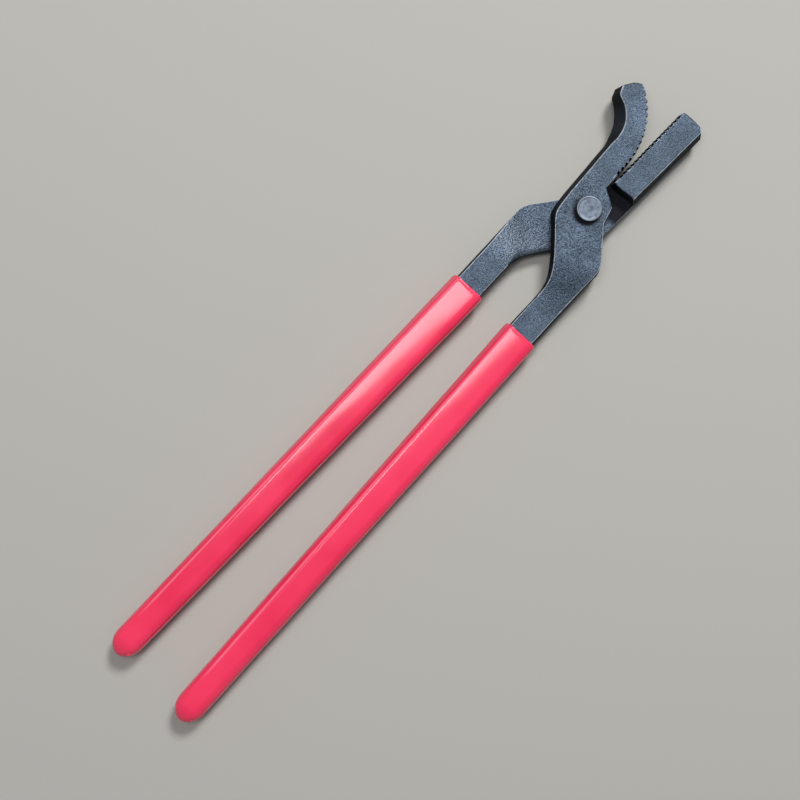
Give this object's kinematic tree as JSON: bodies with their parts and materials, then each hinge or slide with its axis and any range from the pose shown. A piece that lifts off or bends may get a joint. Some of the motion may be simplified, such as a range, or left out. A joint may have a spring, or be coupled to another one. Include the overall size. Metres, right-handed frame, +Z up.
{
  "type": "nail clincher",
  "caption": "Farrier's nail clincher: a toothed curved jaw and a toothed block jaw on forged levers in a half lap joint, with long dipped grips.",
  "frame": {"origin": "on the rivet's axis, in the plane of the flat underside that the tool lies on", "axes": "+X along the tool from the rivet towards the jaws, +Y towards the curved jaw's side, +Z up along the rivet towards its head"},
  "size_m": [0.3546, 0.0559, 0.0212],
  "materials": {
    "forged_steel": "matte",
    "rivet_steel": "satin",
    "dipped_vinyl": "gloss"
  },
  "bodies": {
    "block_jaw_half": {"block_jaw_lever": "forged_steel", "pivot_rivet": "rivet_steel", "block_jaw_grip": "dipped_vinyl"},
    "curved_jaw_half": {"curved_jaw_lever": "forged_steel", "curved_jaw_grip": "dipped_vinyl"}
  },
  "joints": [
    {"name": "jaw_hinge", "type": "hinge", "parent": "block_jaw_half", "child": "curved_jaw_half", "pos_m": [0, 0, 0.009], "axis": [0, 0, 1], "range_deg": [-1.2, 75]}
  ]
}
